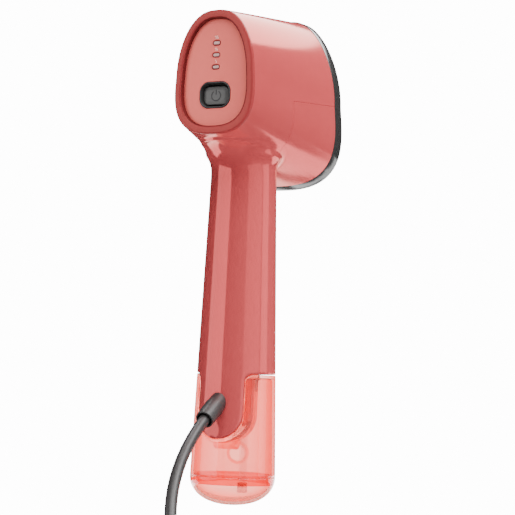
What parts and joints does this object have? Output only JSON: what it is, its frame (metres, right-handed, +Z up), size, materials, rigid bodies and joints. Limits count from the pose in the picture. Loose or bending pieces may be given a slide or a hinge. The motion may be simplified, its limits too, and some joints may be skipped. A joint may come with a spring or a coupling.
{
  "type": "handheld garment steamer",
  "caption": "Handheld garment steamer: flared head with steam plate, round handle, clip-on water tank, power button and a tied mains lead with plug.",
  "frame": {"origin": "middle of the hand grip, on the handle's axis, 150 mm above the lowest point of the tank", "axes": "+Z up along the handle, -Y the way the steam plate faces, +Y the way the control panel faces"},
  "size_m": [0.1458, 0.2303, 0.3811],
  "materials": {
    "coral_gloss": "high gloss, moulded",
    "salmon_satin": "satin",
    "dark_plastic": "fine satin",
    "window_clear": "translucent",
    "led_white": "gloss",
    "board_green": "solder mask",
    "switch_black": "satin",
    "screw_steel": "zinc plated",
    "plate_steel": "fine brushed",
    "cast_alloy": "as cast",
    "element_steel": "heat darkened",
    "shield_plate": "satin sheet",
    "ceramic_white": "dull",
    "inlet_brass": "turned",
    "silicone": "translucent silicone",
    "pump_white": "moulded",
    "coil_copper": "taped winding",
    "pump_steel": "plated",
    "black_rubber": "matt",
    "cord_rubber": "fine matt",
    "clamp_plastic": "satin",
    "lead_brown": "smooth",
    "tank_red": "clear tinted plastic",
    "tank_trim": "matt silicone",
    "pin_nickel": "nickel plated"
  },
  "bodies": {
    "steamer": {"rear_housing": "coral_gloss", "front_housing": "coral_gloss", "rear_bezel": "coral_gloss", "control_panel": "salmon_satin", "button_frame": "dark_plastic", "light_guide": "window_clear", "indicator_leds": "led_white", "control_board": "board_green", "board_screws": "screw_steel", "tact_switch": "switch_black", "front_rim": "dark_plastic", "steam_plate": "plate_steel", "plate_seal": "silicone", "boiler": "cast_alloy", "heating_element": "element_steel", "heat_shield": "shield_plate", "boiler_screws": "screw_steel", "thermostat": "ceramic_white", "thermal_fuse": "ceramic_white", "boiler_inlet": "inlet_brass", "delivery_hose": "silicone", "pump_body": "pump_white", "pump_coil": "coil_copper", "pump_yoke": "pump_steel", "pump_mounts": "black_rubber", "pump_spring_low": "pump_steel", "pump_spring_top": "pump_steel", "suction_hose": "silicone", "inlet_spigot": "pump_white", "spigot_seal": "black_rubber", "housing_screws": "screw_steel", "cord_bushing": "cord_rubber", "cord_clamp": "clamp_plastic", "clamp_screws": "screw_steel", "inner_leads": "lead_brown", "power_cord": "cord_rubber", "cord_coil": "cord_rubber", "cord_tie": "black_rubber", "cord_end": "cord_rubber", "plug_sleeve": "cord_rubber", "plug_body": "cord_rubber", "plug_pins": "pin_nickel"},
    "button": {"power_button": "dark_plastic", "switch_plunger": "led_white"},
    "tank": {"tank_body": "tank_red", "tank_base": "tank_red", "tank_port": "silicone", "pickup_tube": "tank_red", "suction_filter": "tank_trim"},
    "filler": {"filler_plug": "tank_trim"},
    "pump_piston": {"pump_plunger": "pump_steel"}
  },
  "joints": [
    {"name": "button_press", "type": "slide", "parent": "steamer", "child": "button", "axis": [0, -1, 0], "range_m": [0, 0.0008], "stiffness_N_per_m": 400, "springref_m": -0.0015},
    {"name": "tank_release", "type": "slide", "parent": "steamer", "child": "tank", "axis": [0, 0, -1], "range_m": [0, 0.045]},
    {"name": "filler_pull", "type": "slide", "parent": "tank", "child": "filler", "axis": [0.342, -0.9397, 0], "range_m": [0, 0.012]},
    {"name": "pump_stroke", "type": "slide", "parent": "steamer", "child": "pump_piston", "axis": [0, 0, 1], "range_m": [-0.0015, 0.0015], "stiffness_N_per_m": 800, "deforming": ["pump_spring_low", "pump_spring_top"]}
  ]
}
